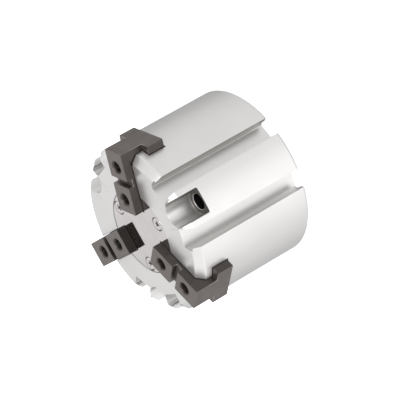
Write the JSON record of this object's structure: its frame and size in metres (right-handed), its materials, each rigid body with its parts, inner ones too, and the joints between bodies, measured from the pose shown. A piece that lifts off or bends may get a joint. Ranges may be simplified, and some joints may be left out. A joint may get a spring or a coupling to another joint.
{
  "type": "pneumatic gripper",
  "caption": "Round parallel gripper: a short silver barrel with radial T-slot fingers moved by a piston and a wedge cam inside.",
  "frame": {"origin": "centre of the rear mounting face, on the rear cover's boss", "axes": "+Z along the barrel towards the fingers; +Y along finger 1's travel, outwards"},
  "size_m": [0.0736, 0.0722, 0.0587],
  "materials": {
    "blasted_aluminium": "bead blasted, clear anodised",
    "machined_aluminium": "machined",
    "treated_steel": "heat treated, dark",
    "polished_stainless": "polished",
    "steel": "ground",
    "spring_steel": "phosphated",
    "nitrile_rubber": "matt",
    "urethane": "satin",
    "rubber_magnet": "matt"
  },
  "bodies": {
    "housing": {"body": "blasted_aluminium", "end_plate": "polished_stainless", "end_plate_screw_1": "polished_stainless", "end_plate_screw_2": "polished_stainless", "end_plate_screw_3": "polished_stainless", "cap": "machined_aluminium", "cap_o_ring": "nitrile_rubber", "retaining_ring": "spring_steel", "rod_seal": "nitrile_rubber", "rod_seal_retainer": "steel"},
    "drive": {"piston": "machined_aluminium", "piston_bolt": "steel", "bolt_seal": "nitrile_rubber", "piston_seal": "nitrile_rubber", "piston_magnet": "rubber_magnet", "bumper_front": "urethane", "bumper_rear": "urethane", "cam": "steel"},
    "jaw_1": {"finger_1": "treated_steel"},
    "jaw_2": {"finger_2": "treated_steel"},
    "jaw_3": {"finger_3": "treated_steel"}
  },
  "joints": [
    {"name": "piston_slide", "type": "slide", "parent": "housing", "child": "drive", "axis": [0, 0, 1], "range_m": [0, 0.006]},
    {"name": "jaw_1_slide", "type": "slide", "parent": "housing", "child": "jaw_1", "axis": [0, 1, 0], "range_m": [0, 0.006]},
    {"name": "jaw_2_slide", "type": "slide", "parent": "housing", "child": "jaw_2", "axis": [0.866, -0.5, 0], "range_m": [0, 0.006]},
    {"name": "jaw_3_slide", "type": "slide", "parent": "housing", "child": "jaw_3", "axis": [-0.866, -0.5, 0], "range_m": [0, 0.006]}
  ],
  "couplings": [
    {"joint": "jaw_1_slide", "follows": "piston_slide", "ratio": 1},
    {"joint": "jaw_2_slide", "follows": "piston_slide", "ratio": 1},
    {"joint": "jaw_3_slide", "follows": "piston_slide", "ratio": 1}
  ]
}
